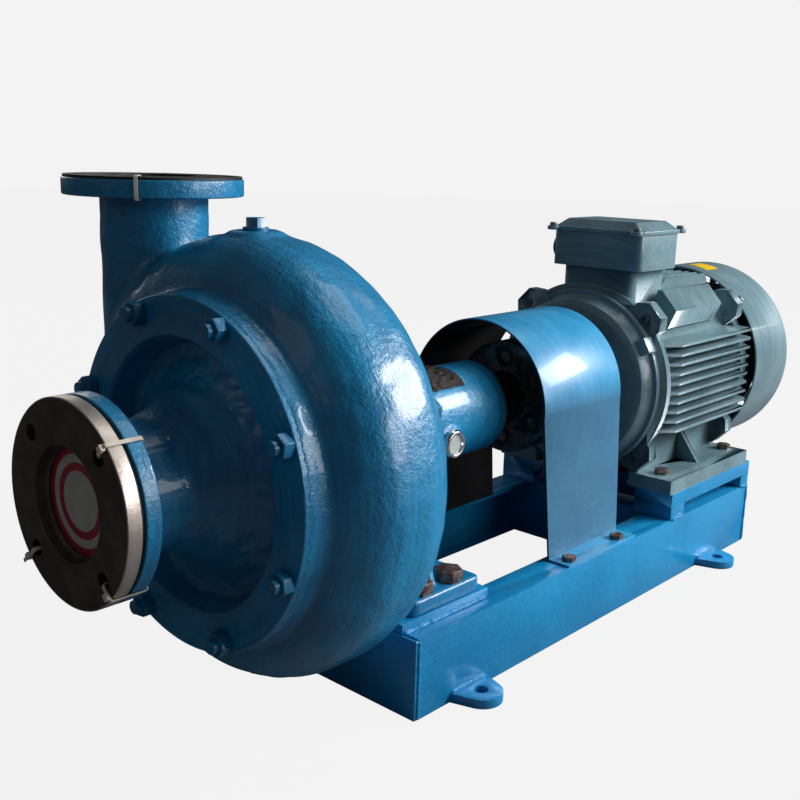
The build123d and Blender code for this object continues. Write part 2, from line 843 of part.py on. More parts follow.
def motor_frame():
    """The finned stator frame: level fins on its flanks, upright fins on top, feet below."""
    body = ring(frame_front, frame_rear, frame_radius)
    body += ring(frame_front, frame_front + 11, frame_flange_radius)
    body += ring(frame_rear - 8, frame_rear, shield_rim_radius)
    body += side_fins() + top_fins() + frame_ears() + [plate_pad(), terminal_neck()]
    body += motor_feet()
    body -= ring(frame_front - 1, frame_rear + 1, frame_bore)
    screw_hole = Rot(0, 90, 0) * Cylinder(4.0, 16, align=ON_BASE)
    return body - at_station(frame_front, around_shaft(screw_hole, 4, ear_radius + 1, 45))


def side_fins():
    """Ten level fins on each flank; each front end is cut back to a slope."""
    outline = Plane.XY * Polygon(
        (frame_front + 6, 110), (frame_front + 6, 128), (frame_front + 32, fin_tip),
        (frame_rear - 8, fin_tip), (frame_rear, 140), (frame_rear, 110), align=None,
    )
    fin = extrude(outline, fin_thickness / 2, both=True)
    fins = []
    for row in range(side_fin_count):
        height = side_fin_top - row * fin_pitch
        fins += [Pos(0, 0, height) * fin, Pos(0, 0, height) * Rot(180, 0, 0) * fin]
    return fins


def top_fins():
    """Upright fins behind the terminal box, and a few below between the feet."""
    upper = extrude(Plane.XZ * Polygon(
        (box_rear + 2, 105), (box_rear + 2, 132), (box_rear + 22, fin_tip),
        (frame_rear - 8, fin_tip), (frame_rear, 140), (frame_rear, 105), align=None,
    ), fin_thickness / 2, both=True)
    lower = extrude(Plane.XZ * Polygon(
        (frame_front + 6, -105), (frame_front + 6, -128), (frame_front + 26, -150),
        (frame_rear - 8, -150), (frame_rear, -140), (frame_rear, -105), align=None,
    ), fin_thickness / 2, both=True)
    fins = []
    for row in range(-top_fin_half_count, top_fin_half_count + 1):
        fins += [Pos(0, row * fin_pitch, 0) * upper, Pos(0, row * fin_pitch, 0) * lower]
    return fins


def frame_ears():
    """Six-sided ears at the four corners that take the screws of the end shields."""
    outline = Polygon((28, -30), (28, 4), (15, 19), (-15, 19), (-28, 4), (-28, -30), align=None)
    ear = Rot(0, 90, 0) * Rot(0, 0, 90) * extrude(outline, 20)
    ears = []
    for station in (frame_front, frame_rear - 20):
        ears += [
            Pos(station, 0, 0) * Rot(angle, 0, 0) * Pos(0, 0, ear_radius) * ear
            for angle in (45, 135, 225, 315)
        ]
    return ears


def plate_pad():
    """A long plain pad on the upper near corner, between the level and the upright fins."""
    pad = extrude(Plane.YZ * Polygon(
        (-78, 100), (-84, 141), (-92, 141), (-118, 112), (-106, 84), align=None
    ), 150)
    return Pos(960, 0, 0) * pad


def terminal_neck():
    neck = block((box_front + 12, box_rear - 6), (neck_near, neck_far), (80, box_bottom))
    return fillet(neck.edges().filter_by(Axis.Z), 12)


def motor_feet():
    """Two cast foot plates with sloping gussets up to the frame."""
    feet = []
    for side in (-1, 1):
        inner, outer = sorted((side * 88, side * base_half_width))
        plate = block(
            (motor_foot_front, motor_foot_rear), (inner, outer),
            (motor_sole, motor_sole + motor_foot_thickness),
        )
        for station in motor_bolt_stations:
            plate -= upright(station, side * motor_bolt_offset, motor_sole - 1, 40, 7.5)
        wall = block(
            (motor_foot_front + 4, motor_foot_rear - 4), sorted((side * 84, side * 100)),
            (motor_sole, -80),
        )
        gusset = Polygon(
            (side * 96, motor_sole + 16), (side * 142, motor_sole + 16), (side * 104, -92),
            (side * 90, -92), align=None,
        )
        feet += [plate, wall, Pos(1040, 0, 0) * extrude(Plane.YZ * gusset, 5, both=True)]
    return feet


def drive_end_shield():
    """The dished cover that carries the drive-end bearing, with four screw lugs on its rim."""
    body = turned_corners(
        (shield_front, 30), (shield_front, 64), (848, 70), (857, 112), (861, 124.5), (880, 133),
        (880, shield_rim_radius - 1), (frame_front, shield_rim_radius), (frame_front, frame_bore - 8),
        (878, frame_bore - 14), (871, 100), (868, 66), (875, 58), (875, motor_bearing_seat),
        (850, motor_bearing_seat), (850, 30),
    )
    lug = block((868, frame_front), (-12, 12), (110, 142))
    lugs = [Rot(angle, 0, 0) * lug for angle in (60, 150, 240, 330)]
    return body + lugs


def rear_end_shield():
    body = turned_corners(
        (frame_rear, frame_bore - 8), (frame_rear, 139), (cowl_front, 139), (1190, 112), (1204, 70),
        (1212, 60), (1212, 30), (1205, 30), (1205, motor_bearing_seat), (1180, motor_bearing_seat),
        (1180, 58), (1186, 66), (1174, frame_bore - 8),
    )
    lug_shape = block((frame_rear + 2, cowl_screw_station + 8), (-10, 10), (120, cowl_radius))
    lug = lug_shape & ring(frame_rear, cowl_screw_station + 10, cowl_radius - cowl_sheet, 118)
    lugs = [Rot(angle, 0, 0) * lug for angle in (45, 135, 225, 315)]
    return body + lugs - cowl_screw_holes()


def cowl_screw_holes():
    hole = Cylinder(cowl_screw_radius, 30)
    return at_station(cowl_screw_station, around_shaft(hole, 4, cowl_radius, 45))


def motor_shaft():
    return turned_corners(
        (motor_shaft_end, 0), (motor_shaft_end, motor_shaft_radius - 1), (723, motor_shaft_radius),
        (832, motor_shaft_radius), (832, motor_bearing_bore), (875, motor_bearing_bore),
        (875, 30), (925, 30), (925, 34), (1125, 34), (1125, 30), (1180, 30),
        (1180, motor_bearing_bore), (1214, motor_bearing_bore), (1214, 18), (1262, 18), (1262, 0),
    ) - keyway(motor_shaft_radius, 728, 796)


def rotor_core():
    """Laminated core with its cast end rings and short fan blades."""
    body = ring(930, 1120, 71.4, 34.0)
    body += ring(920, 930, 68, 44) + ring(1120, 1130, 68, 44)
    blade = block((908, 920), (-2.5, 2.5), (48, 66))
    blades = [Rot(40 * step, 0, 0) * blade for step in range(9)]
    return body + blades + [Pos(222, 0, 0) * piece for piece in blades]


def stator_core():
    return ring(930, 1120, frame_bore, 72.0)


def windings():
    """The end turns stand out of the core on both sides as rounded rings."""
    front = turned_corners((906, 82), (906, 104), (912, 110), (930, 110), (930, 76), (912, 76))
    rear = Pos(2050, 0, 0) * Rot(0, 0, 180) * front
    return group([front, rear])


def fan():
    """A moulded fan: hub, disc and straight radial blades that work either way round."""
    body = ring(fan_front, 1256, 34, 18.0) + ring(fan_front + 24, fan_front + 28, 128, 34)
    blade = extrude(Plane.XZ * Polygon(
        (fan_front + 2, 32), (fan_front + 2, 118), (fan_front + 26, 128), (fan_front + 26, 32), align=None
    ), 1.75, both=True)
    return body + [Rot(360 / 7 * step, 0, 0) * blade for step in range(7)]


def fan_cowl():
    """Sheet cowl with a rounded rear edge and ring slots for the air inlet."""
    outer = Polyline((cowl_front, cowl_radius - cowl_sheet), (cowl_front, cowl_radius), (1298, cowl_radius))
    shoulder = RadiusArc((1298, cowl_radius), (cowl_rear, cowl_radius - 20), 20)
    back = Polyline(
        (cowl_rear, cowl_radius - 20), (cowl_rear, 0), (cowl_rear - cowl_sheet, 0),
        (cowl_rear - cowl_sheet, cowl_radius - 20),
    )
    inside = RadiusArc((cowl_rear - cowl_sheet, cowl_radius - 20), (1298, cowl_radius - cowl_sheet), -17.5)
    inner = Line((1298, cowl_radius - cowl_sheet), (cowl_front, cowl_radius - cowl_sheet))
    body = turned(outer, shoulder, back, inside, inner)
    slots = Part()
    for radius in (38, 58, 78, 98, 118):
        slots += ring(cowl_rear - 6, cowl_rear + 2, radius + 12, radius)
    spoke = block((cowl_rear - 8, cowl_rear + 4), (-6, 6), (-140, 140))
    slots -= [Rot(45 * step, 0, 0) * spoke for step in range(4)]
    return body - slots - cowl_screw_holes()


def motor_screws():
    """Small screws of the motor: end shields, fan cowl and terminal lid."""
    shield = Rot(0, -90, 0) * bolt(4.0, 16.0, 13.0, 5.5)
    cowl = bolt(cowl_screw_radius, 12.0, 10.0, 4.0)
    lid = Cylinder(5.5, 5, align=ON_BASE)
    placed = at_station(frame_front, around_shaft(shield, 4, ear_radius + 1, 45))
    placed += at_station(cowl_screw_station, around_shaft(cowl, 4, cowl_radius, 45))
    placed += [Pos(x, y, box_top + 6) * lid for x, y in lid_corners()]
    return group(placed)


# Terminal box


def terminal_box():
    body = block((box_front, box_rear), (box_near, box_far), (box_bottom, box_top))
    body = fillet(body.edges().filter_by(Axis.Z), box_corner)
    hollow = block(
        (box_front + box_wall, box_rear - box_wall), (box_near + box_wall, box_far - box_wall),
        (box_bottom + box_wall, box_top),
    )
    body -= fillet(hollow.edges().filter_by(Axis.Z), box_corner - box_wall)
    entry_hole = Pos(entry_station, box_far, entry_height) * Rot(90, 0, 0) * Cylinder(14, 30)
    return body - entry_hole


def lid_corners():
    """Where the four screws of the terminal lid stand."""
    return [
        (x, box_centre + side * (box_half_width - 4))
        for x in (box_front - 7, box_rear + 7) for side in (-1, 1)
    ]


def terminal_lid():
    """A lid with sloping edges, a flat rim and a screw ear at each corner."""
    middle = (box_front + box_rear) / 2
    length = box_rear - box_front
    width = 2 * box_half_width
    rim = Pos(middle, box_centre, box_top) * extrude(RectangleRounded(length + 6, width + 6, 12), 6)
    foot = Pos(middle, box_centre, box_top + 6) * RectangleRounded(length, width, 10)
    crown = Pos(middle, box_centre, lid_top) * RectangleRounded(length - 26, width - 30, 8)
    body = rim + loft([foot, crown])
    return body + [upright(x, y, box_top, 6, 9) for x, y in lid_corners()]


def cable_entry_plug():
    """A blanking plug in the far side of the box: its shank fills the wall, a collar closes on it."""
    plug = Pos(0, 0, -box_wall) * Cylinder(14, box_wall, align=ON_BASE)
    plug += Cylinder(22, 6, align=ON_BASE) + Pos(0, 0, 6) * Cylinder(18, 12, align=ON_BASE)
    return Pos(entry_station, box_far, entry_height) * Rot(-90, 0, 0) * plug


def terminal_board():
    """The six-stud board, its studs standing on the floor of the box."""
    middle = (box_front + box_rear) / 2
    floor = box_bottom + box_wall
    across = (box_centre - 40, box_centre + 40)
    board = block((middle - 20, middle + 20), across, (floor, floor + 12))
    studs = [
        upright(middle + end * 11, box_centre + row * 24, floor + 12, 14, 3)
        for end in (-1, 1) for row in (-1, 0, 1)
    ]
    return board + studs


def base_bolts():
    """The bolts of the motor's feet and of the coupling guard's feet."""
    motor_bolt = bolt(6.0, motor_foot_thickness + 22.0, 19.0, 8.0)
    guard_bolt = bolt(5.0, guard_sheet + channel_flange, 17.0, 6.5)
    motor_seat = motor_sole + motor_foot_thickness
    guard_seat = base_top + guard_sheet
    placed = []
    for side in (-1, 1):
        for station in motor_bolt_stations:
            placed.append(Pos(station, side * motor_bolt_offset, motor_seat) * motor_bolt)
    for offset in guard_bolt_offsets:
        for station in guard_bolt_stations:
            placed.append(Pos(station, offset, guard_seat) * guard_bolt)
    return group(placed)


# Welded base


def base_channels():
    """Two folded channels on edge: wide flange on top, a narrow lip at the foot, both inwards."""
    bottom = -shaft_height
    section = Polyline(
        (0, bottom), (channel_lip, bottom), (channel_lip, bottom + channel_flange),
        (channel_web, bottom + channel_flange), (channel_web, base_top - channel_flange),
        (channel_depth, base_top - channel_flange), (channel_depth, base_top), (0, base_top), close=True,
    )
    length = base_rear - base_front - 2 * end_plate
    channel = extrude(make_face(Plane.YZ * section), length)
    near = Pos(base_front + end_plate, -base_half_width, 0) * channel
    for station in pump_bolt_stations:
        near -= upright(station, -pump_bolt_offset, base_top - 20, 40, 10)
    far = mirror(near, Plane.XZ)
    for station in guard_bolt_stations:
        near -= upright(station, guard_bolt_offsets[0], base_top - 20, 40, 5)
        far -= upright(station, guard_bolt_offsets[1], base_top - 20, 40, 5)
    return group([near, far])


def base_cross_members():
    """A plate across each end, and one channel under the front of the motor."""
    bottom = -shaft_height
    half = base_half_width
    front = block((base_front, base_front + end_plate), (-half, half), (bottom, base_top))
    rear = block((base_rear - end_plate, base_rear), (-half, half), (bottom, base_top))
    clear = half - channel_depth
    reach = half - channel_lip
    inside = half - channel_web
    web = block(
        (cross_channel_front, cross_channel_front + channel_web), (-inside, inside),
        (bottom + channel_flange, base_top - channel_flange),
    )
    shelf = (cross_channel_front, cross_channel_front + cross_channel_width)
    web += block(shelf, (-clear, clear), (base_top - channel_flange, base_top))
    web += block(shelf, (-reach, reach), (bottom, bottom + channel_flange))
    return group([front, rear, web])


def anchor_lugs():
    """Rounded ears welded to the foot of the channels."""
    bottom = -shaft_height
    tip = Pos(0, base_half_width - anchor_offset) * Circle(anchor_ear_radius)
    root = Line((-anchor_root_half, 0), (anchor_root_half, 0))
    outline = make_hull(tip.edges() + [root])
    outline &= Pos(0, -50) * Rectangle(200, 100)
    lug = extrude(outline, anchor_plate)
    lug -= Pos(0, base_half_width - anchor_offset, 0) * Cylinder(anchor_hole_radius, 60)
    near = [Pos(station, -base_half_width, bottom) * lug for station in anchor_stations]
    return group(near + [mirror(piece, Plane.XZ) for piece in near])


def mounting_rails():
    """Flat bars under the pump's foot, and a thick bar welded on two blocks under each motor foot."""
    pump_bar = block((335, 493), (-137, -96), (base_top, pump_foot_bottom))
    for station in pump_bolt_stations:
        pump_bar -= upright(station, -pump_bolt_offset, base_top - 20, 60, 10)
    under = motor_sole - motor_bar
    motor_bar_body = block((918, 1185), (-base_half_width, -96), (under, motor_sole))
    front_block = block((918, 960), (-base_half_width, -96), (base_top, under))
    rear_block = block((1158, 1185), (-base_half_width, -96), (base_top, under))
    for station in motor_bolt_stations:
        motor_bar_body -= upright(station, -motor_bolt_offset, under, 60, 6)
    near = [pump_bar, motor_bar_body, front_block, rear_block]
    return group(near + [mirror(bar, Plane.XZ) for bar in near])


nodes = [
    companion_flange, gaskets, suction_blank, suction_cover, cover_studs, cover_nuts, wear_ring,
    volute_casing, casing_plugs, impeller, impeller_nut, pump_shaft, shaft_sleeve, flinger,
    back_cover, packing_rings, lantern_ring, gland_follower, gland_studs, gland_nuts,
    bearing_bracket, bracket_bolts, pump_foot_bolts, inspection_cover, sight_glass_ring,
    sight_glass, front_bearing_cover, rear_bearing_cover, oil_seals, bearing_outers,
    pump_bearing_inners, pump_bearing_cages, pump_coupling_hub, pump_coupling_key,
    coupling_bushes, coupling_pins, motor_coupling_hub, motor_coupling_key, coupling_guard,
    motor_frame, drive_end_shield, rear_end_shield, motor_screws, motor_shaft, rotor_core,
    stator_core, windings, motor_bearing_inners, motor_bearing_cages, fan, fan_cowl,
    terminal_box, terminal_lid, terminal_board, cable_entry_plug, base_channels,
    base_cross_members, anchor_lugs, mounting_rails, base_bolts,
]


def main():
    os.makedirs("parts", exist_ok=True)
    to_frame = Pos(-origin_station, 0, shaft_height)
    for make in nodes:
        export_step(to_frame * make(), f"parts/{make.__name__}.step")
        print(make.__name__)


if __name__ == "__main__":
    main()
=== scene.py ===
import json
from math import atan2, cos, hypot, pi, radians, sin

import bmesh
import bpy
from mathutils import Matrix, Vector, noise


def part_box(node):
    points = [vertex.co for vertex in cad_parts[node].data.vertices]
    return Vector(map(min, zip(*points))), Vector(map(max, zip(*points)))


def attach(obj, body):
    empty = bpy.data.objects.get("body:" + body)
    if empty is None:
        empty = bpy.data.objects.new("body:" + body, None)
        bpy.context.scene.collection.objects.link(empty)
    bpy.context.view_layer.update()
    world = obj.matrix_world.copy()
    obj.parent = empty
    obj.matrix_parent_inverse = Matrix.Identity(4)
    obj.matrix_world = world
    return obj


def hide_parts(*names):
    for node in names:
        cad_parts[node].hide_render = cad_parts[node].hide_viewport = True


# The looks of a slurry pump set: cast pump, bearing bracket, sheet guard and finned motor on a
# welded base. New pieces are drawn in millimetres in shaft coordinates, as station along the
# shaft from the face of the companion flange, offset across and height over the axis, and are
# then brought into the frame by one matrix.

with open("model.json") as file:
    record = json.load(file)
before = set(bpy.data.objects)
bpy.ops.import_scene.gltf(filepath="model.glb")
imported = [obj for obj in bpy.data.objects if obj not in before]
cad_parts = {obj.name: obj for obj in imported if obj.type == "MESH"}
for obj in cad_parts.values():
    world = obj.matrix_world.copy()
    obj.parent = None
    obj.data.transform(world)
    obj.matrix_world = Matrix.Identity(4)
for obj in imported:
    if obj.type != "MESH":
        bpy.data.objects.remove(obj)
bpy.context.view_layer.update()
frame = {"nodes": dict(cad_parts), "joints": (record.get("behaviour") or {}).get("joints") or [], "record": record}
cad_nodes = frame["nodes"]

millimetre = 0.001
shaft_height = frame["joints"][0]["pos_m"][2]
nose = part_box("companion_flange")[0].x
to_frame = Matrix.Translation((nose, 0, shaft_height)) @ Matrix.Scale(millimetre, 4)
mounts = {row["name"]: row for row in frame["record"]["mounts"]}


def station(node, end):
    """The first (0) or last (1) station that a CAD node reaches."""
    return (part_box(node)[end].x - nose) / millimetre


def height(node, end):
    """The lowest (0) or highest (1) height over the shaft that a CAD node reaches."""
    return (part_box(node)[end].z - shaft_height) / millimetre


# Shader maths


class Field:
    """One output of a node. Sums, products and powers of fields add Math nodes."""

    def __init__(self, nodes, socket):
        self.nodes = nodes
        self.socket = socket

    def math(self, operation, *values):
        return self.nodes.node("Math", {"operation": operation}, dict(enumerate(values)))

    def __add__(self, other):
        return self.math("ADD", self, other)

    def __sub__(self, other):
        return self.math("SUBTRACT", self, other)

    def __rsub__(self, other):
        return self.math("SUBTRACT", other, self)

    def __mul__(self, other):
        return self.math("MULTIPLY", self, other)

    def __pow__(self, other):
        return self.math("POWER", self, other)

    __radd__ = __add__
    __rmul__ = __mul__

    def at_least(self, other):
        return self.math("MAXIMUM", self, other)

    def between(self, low, high):
        """Rises smoothly from 0 at low to 1 at high, or falls where low is the larger."""
        values = {"Value": self, "From Min": low, "From Max": high}
        return self.nodes.node("MapRange", {"interpolation_type": "SMOOTHSTEP"}, values)


class Nodes:
    """The tree of a material or a world. All its nodes come from one method."""

    def __init__(self, owner):
        owner.use_nodes = True
        self.tree = owner.node_tree
        self.tree.nodes.clear()

    def node(self, kind, settings=None, inputs=None, output=0):
        """Adds a node: its settings first, then the values or links of its sockets."""
        node = self.tree.nodes.new("ShaderNode" + kind)
        for key, value in (settings or {}).items():
            setattr(node, key, value)
        for key, value in (inputs or {}).items():
            if isinstance(value, Field):
                self.tree.links.new(value.socket, node.inputs[key])
            else:
                node.inputs[key].default_value = value
        return Field(self, node.outputs[output]) if node.outputs else node


class Finish(Nodes):
    """A material, and the patterns that its surface is made of."""

    def __init__(self, name):
        self.material = bpy.data.materials.new(name)
        super().__init__(self.material)
        self.place = self.node("TexCoord", output="Object")

    def grain(self, size, detail=3.0, roughness=0.55, place=None):
        """Noise whose features are about size metres across."""
        return self.node("TexNoise", None, {
            "Vector": place or self.place, "Scale": 1 / size, "Detail": detail,
            "Roughness": roughness,
        })

    def mix(self, first, second, share):
        """From the first colour to the second one as share goes from 0 to 1."""
        factor, first_colour, second_colour, result = 0, 6, 7, 2
        first, second = (c if isinstance(c, Field) else (*c, 1.0) for c in (first, second))
        inputs = {factor: share, first_colour: first, second_colour: second}
        return self.node("Mix", {"data_type": "RGBA"}, inputs, result)

    def axes(self):
        """Distance along the shaft, offset across and height over the axis, in metres."""
        x, y, z = (self.node("SeparateXYZ", None, {0: self.place}, axis) for axis in range(3))
        return x, y, z - shaft_height

    def around(self):
        """Distance from the shaft's axis, and a place unrolled about it for marks that go round."""
        metres_per_radian = 0.012
        x, y, z = self.axes()
        radius = (y * y + z * z) ** 0.5
        turn = y.math("ARCTAN2", y, z) * metres_per_radian
        return radius, self.node("CombineXYZ", None, {0: x, 1: radius, 2: turn})

    def bump(self, relief, depth, below=None):
        """Relief as a normal: depth is the real height in metres of a relief of 1."""
        inputs = {"Height": relief, "Strength": 1.0, "Distance": depth}
        if below:
            inputs["Normal"] = below
        return self.node("Bump", None, inputs)

    def surface(self, inputs):
        shader = self.node("BsdfPrincipled", None, inputs)
        self.node("OutputMaterial", None, {"Surface": shader})
        return self.material


def linear(code):
    """A colour written as six hexadecimal digits, as the shader's linear values."""
    parts = [int(code[i:i + 2], 16) / 255 for i in (0, 2, 4)]
    return tuple(c / 12.92 if c < 0.04045 else ((c + 0.055) / 1.055) ** 2.4 for c in parts)


def under_arch(paint):
    """1 on the inner face of the coupling guard, which is an arch on two straight walls: painted shade goes there.
    """
    foot_width, sheet = 0.031, 0.003
    low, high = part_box("coupling_guard")
    reach = (high.y - low.y) / 2 - foot_width
    arch_centre = high.z - shaft_height - reach
    _, y, z = paint.axes()
    across = y - (low.y + high.y) / 2
    rise = (z - arch_centre).at_least(0.0)
    outward = (across * across + rise * rise) ** 0.5
    return outward.between(reach - sheet / 3, reach - sheet * 2 / 3)


def enamel(name, deep, pale, peel, cast, gloss, coat, bare=None):
    """Brushed enamel, in metres: peel is its orange peel, cast the rough metal that it lies on.

    Where the mask of the last argument is 1, a near-black primer brown shows in its place: primer, and painted
    shade inside the guard.
    """
    # The second colour is a primer brown darkened into painted shade for the inside of the guard.
    speck_blue, primer_and_shade_brown = linear("0A3048"), linear("1C1716")
    paint = Finish(name)
    _, unrolled = paint.around()
    cloud = paint.grain(0.11, 3)
    brushed = paint.grain(0.006, 2, 0.6, unrolled)
    tone = (cloud * 0.65 + brushed * 0.35).between(0.3, 0.72)
    colour = paint.mix(linear(deep), linear(pale), tone)
    specks = paint.grain(0.0045, 1).between(0.74, 0.79)
    colour = paint.mix(colour, speck_blue, specks * 0.55)
    pits = paint.bump(paint.grain(0.0065, 4, 0.62), cast)
    strokes = paint.bump(brushed, peel * 0.6, pits)
    skin = paint.bump(paint.grain(0.0028, 2), peel, strokes)
    shine = gloss + 0.16 * paint.grain(0.03, 4, 0.65) + 0.1 * brushed
    if bare:
        # Painted shade: a near-black primer brown stands for the primer and for the shade inside the guard.
        primer_and_shade_share = bare(paint)
        colour = paint.mix(colour, primer_and_shade_brown, primer_and_shade_share)
        shine = shine + 0.35 * primer_and_shade_share
    return paint.surface({
        "Base Color": colour, "Roughness": shine, "Normal": skin,
        "Coat Weight": coat, "Coat Roughness": 0.09,
    })


def turned_steel(name):
    """Bare flange steel: turned rings and stains on its face, a bright filed rim."""
    rim_start, rim_end = 0.1030, 0.1042
    rust_brown = linear("4A2F22")
    steel = Finish(name)
    radius, unrolled = steel.around()
    rings = steel.grain(0.0007, 1, 0.5, steel.node("CombineXYZ", None, {1: radius}))
    stain = steel.grain(0.035, 5, 0.6).between(0.36, 0.68)
    face = steel.mix(linear("4B423D"), linear("6E625A"), stain * 0.75 + rings * 0.25)
    rust = steel.grain(0.018, 5, 0.65).between(0.6, 0.78)
    face = steel.mix(face, rust_brown, rust * 0.5)
    filed = steel.mix(linear("9C9189"), linear("D6CCC4"), steel.grain(0.012, 4, 0.6, unrolled))
    rim = radius.between(rim_start, rim_end)
    return steel.surface({
        "Base Color": steel.mix(face, filed, rim), "Metallic": 0.75,
        "Roughness": 0.46 + 0.16 * stain - 0.12 * rim,
        "Normal": steel.bump(rings, 0.00012, steel.bump(steel.grain(0.004, 4), 0.0002)),
    })


def rusted_steel(name, dark, light, rust_share=0.5):
    """Steel or iron with stains, and rust that dulls it in patches."""
    rust_brown = linear("5A3522")
    steel = Finish(name)
    stain = steel.grain(0.009, 5, 0.65)
    colour = steel.mix(linear(dark), linear(light), stain.between(0.35, 0.65))
    rust = steel.grain(0.005, 4, 0.6).between(0.52, 0.7)
    return steel.surface({
        "Base Color": steel.mix(colour, rust_brown, rust * rust_share),
        "Metallic": 0.85 - 0.4 * rust, "Roughness": 0.38 + 0.3 * rust,
        "Normal": steel.bump(steel.grain(0.0018, 3), 0.00015),
    })


def ground_steel(name, colour_code, rough=0.28):
    """Machined metal with fine marks that go round the shaft."""
    steel = Finish(name)
    _, unrolled = steel.around()
    marks = steel.grain(0.0008, 2, 0.5, unrolled)
    film = steel.grain(0.02, 3).between(0.3, 0.7)
    bright = linear(colour_code)
    dull = [c * 0.8 for c in bright]
    return steel.surface({
        "Base Color": steel.mix(dull, bright, marks * 0.5 + film * 0.5), "Metallic": 1.0,
        "Roughness": rough + 0.15 * marks, "Normal": steel.bump(marks, 0.00005),
    })


def plain_moulding(name, low, high, rough, grain_size=0.0012, depth=0.0001):
    """Rubber, plastic or nylon: a soft change of tone and a fine even grain."""
    body = Finish(name)
    return body.surface({
        "Base Color": body.mix(
            linear(low), linear(high), body.grain(0.02, 3).between(0.3, 0.7),
        ),
        "Roughness": rough + 0.12 * body.grain(0.01, 3),
        "Normal": body.bump(body.grain(grain_size, 2), depth),
    })


def shaded_rough_iron(name):
    """The unpainted plate over the oil chamber, lumpy and dusty: near-black painted shade of the opening that it
    stands for, with brown scaled iron in patches.
    """
    dust_grey = linear("8C8078")
    iron = Finish(name)
    lumps = iron.grain(0.008, 6, 0.7)
    # Painted shade: near-black lumps with brown iron between, as dark as the shaded opening that the plate stands
    # for.
    colour = iron.mix(linear("0E0D0E"), linear("4C3B32"), lumps.between(0.42, 0.72))
    dust = iron.grain(0.003, 3).between(0.62, 0.72)
    return iron.surface({
        "Base Color": iron.mix(colour, dust_grey, dust * 0.7), "Metallic": 0.2,
        "Roughness": 0.55 + 0.3 * lumps,
        "Normal": iron.bump(lumps, 0.0022, iron.bump(iron.grain(0.002, 4), 0.0006)),
    })


def ringed_blank(name):
    """A red disc of coated fibre with a pale field, and a red ring inside the field."""
    field_edge = 0.0475, 0.0468
    ring_inside, ring_outside = (0.0300, 0.0306), (0.0388, 0.0382)
    disc = Finish(name)
    radius, _ = disc.around()
    fibre = disc.grain(0.0016, 3)
    red = disc.mix(linear("8E1F33"), linear("B02A40"), fibre)
    pale = disc.mix(linear("A9A7A0"), linear("C4C1BA"), disc.grain(0.012, 3))
    field = radius.between(*field_edge)
    ring = radius.between(*ring_inside) * radius.between(*ring_outside)
    return disc.surface({
        "Base Color": disc.mix(red, pale, field * (1 - ring)),
        "Roughness": 0.42 + 0.15 * fibre, "Normal": disc.bump(fibre, 0.0002),
    })


def braid(name):
    """Plaited packing, its strands slanting round the shaft."""
    packing = Finish(name)
    _, unrolled = packing.around()
    inputs = {"Vector": unrolled, "Scale": 160.0}
    weave = packing.node("TexWave", {"bands_direction": "DIAGONAL"}, inputs)
    return packing.surface({
        "Base Color": packing.mix(linear("3C372F"), linear("7B7263"), weave),
        "Roughness": 0.7, "Normal": packing.bump(weave, 0.0004),
    })


def clear_glass(name):
    """The window of the sight glass, drawn as a pale glossy disc with a faint haze."""
    glass = Finish(name)
    haze = glass.grain(0.004, 3)
    return glass.surface({
        "Base Color": glass.mix(linear("8F9793"), linear("D5DAD7"), haze),
        "Roughness": 0.05 + 0.1 * haze, "Coat Weight": 1.0, "Coat Roughness": 0.02,
        "Normal": glass.bump(haze, 0.0001),
    })


materials = {
    "companion_steel": turned_steel("turned_flange_steel"),
    "rubber": plain_moulding("black_rubber", "08090A", "17181A", 0.5),
    "blank_plate": ringed_blank("red_blank"),
    "pump_paint": enamel(
        "pump_enamel", "0A6A99", "1B90C2", peel=0.00035, cast=0.0013, gloss=0.18, coat=0.35,
    ),
    "painted_fasteners": enamel(
        "fastener_enamel", "0A5F8A", "187FAE", peel=0.0002, cast=0.0004, gloss=0.24, coat=0.3,
    ),
    "bolt_steel": rusted_steel("bolt_steel", "5B4A42", "A08880"),
    "wear_iron": rusted_steel("bare_iron", "3A3938", "6A6764", 0.35),
    "cover_iron": shaded_rough_iron("rough_plate_painted_shade"),
    "machined_steel": ground_steel("ground_steel", "B4B4B6"),
    "packing": braid("packing_braid"),
    "bronze": ground_steel("dull_bronze", "B07A45", 0.38),
    "sight_chrome": ground_steel("bright_chrome", "E4E6E8", 0.08),
    "sight_window": clear_glass("sight_glass_clear"),
    "guard_paint": enamel(
        "guard_enamel", "1F86BA", "3E9FCE", peel=0.00008, cast=0.0001, gloss=0.24, coat=0.2,
        # painted shade, in a primer brown, on the inner face of the guard
        bare=under_arch,
    ),
    "motor_paint": enamel(
        "motor_enamel", "587681", "7E9CA6", peel=0.00016, cast=0.0003, gloss=0.2, coat=0.3,
    ),
    "motor_fittings": rusted_steel("zinc_screws", "4A5055", "7E868B", 0.15),
    "lamination": ground_steel("core_plates", "77797C", 0.4),
    "plastic": plain_moulding("dark_plastic", "101417", "1E2529", 0.4),
    "base_paint": enamel(
        "base_enamel", "0B7DB4", "1A94CC", peel=0.0003, cast=0.0003, gloss=0.2, coat=0.35,
    ),
}
nylon = plain_moulding("tie_nylon", "CFC4B0", "E4DDCF", 0.35, 0.004, 0.0001)
yellow_film = plain_moulding("yellow_film", "E8B90F", "F4CB26", 0.35, 0.002, 0.00003)

bodies = frame["record"]["behaviour"]["bodies"]
body_of = {node: body for body, nodes in bodies.items() for node in nodes}
slot_of = {row["node"]: row["material_slot"] for row in frame["record"]["subparts"]}


def give(thing, material):
    thing.data.materials.clear()
    thing.data.materials.append(material)


for node, slot in slot_of.items():
    give(cad_nodes[node], materials[slot])


# Mesh helpers, in millimetres and shaft coordinates

crease_angle = 32


